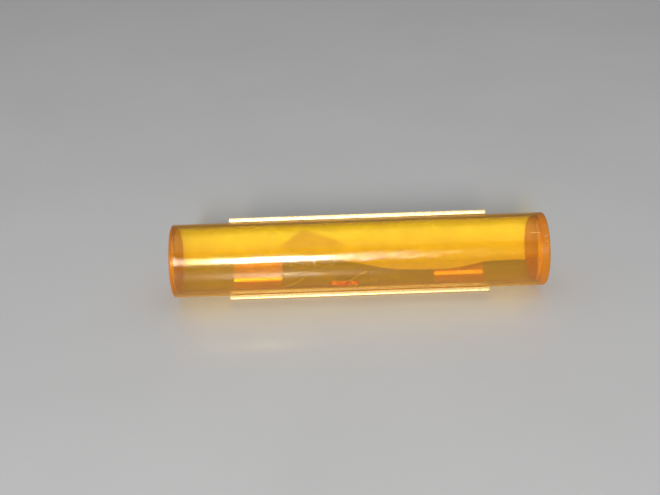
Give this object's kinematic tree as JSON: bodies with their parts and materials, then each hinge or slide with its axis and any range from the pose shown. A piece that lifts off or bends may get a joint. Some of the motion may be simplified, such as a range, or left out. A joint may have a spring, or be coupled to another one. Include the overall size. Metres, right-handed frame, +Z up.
{
  "type": "sample vial in a half-round cradle",
  "caption": "Slender amber tube vial with a flush plug at each end, holding a curled blank slip and a pinch of grains, lying in a windowed gold half-round cradle.",
  "frame": {"origin": "bottom centre of the whole object's box, on the surface that the cradle's foot stands on", "axes": "+X along the vial towards its stopper, +Z up, -Y the front, which the cradle's open side faces and tips up from"},
  "size_m": [0.051, 0.0106, 0.0108],
  "materials": {
    "gold_plate": "gold plated, satin, finely drawn",
    "amber_polymer": "clear amber, glossy, finely scratched",
    "amber_plug": "deep amber, glossy",
    "slip_paper": "matt",
    "garnet": "glassy crystal faces",
    "native_gold": "natural flake"
  },
  "bodies": {
    "holder": {"cradle": "gold_plate"},
    "sample": {"garnet_grain_01": "garnet", "garnet_grain_02": "garnet", "garnet_grain_03": "garnet", "garnet_grain_04": "garnet", "garnet_grain_05": "garnet", "garnet_grain_06": "garnet", "garnet_grain_07": "garnet", "garnet_grain_08": "garnet", "garnet_grain_09": "garnet", "garnet_grain_10": "garnet", "garnet_grain_11": "garnet", "garnet_grain_12": "garnet", "garnet_grain_13": "garnet", "garnet_grain_14": "garnet", "garnet_grain_15": "garnet", "garnet_grain_16": "garnet", "garnet_grain_17": "garnet", "garnet_grain_18": "garnet", "gold_flake_1": "native_gold", "gold_flake_2": "native_gold", "gold_flake_3": "native_gold", "gold_flake_4": "native_gold", "gold_flake_5": "native_gold", "gold_flake_6": "native_gold"},
    "vial": {"vial_tube": "amber_polymer", "base_plug": "amber_plug", "paper_slip": "slip_paper"},
    "closure": {"stopper": "amber_plug"}
  },
  "joints": [
    {"name": "vial_slide", "type": "slide", "parent": "holder", "child": "sample", "axis": [1, 0, 0], "range_m": [-0.044, 0.044]},
    {"name": "vial_spin", "type": "hinge", "parent": "sample", "child": "vial", "pos_m": [0, -0.00032, 0.00575], "axis": [1, 0, 0], "continuous": true},
    {"name": "stopper_pull", "type": "slide", "parent": "vial", "child": "closure", "axis": [1, 0, 0], "range_m": [0, 0.012]}
  ]
}
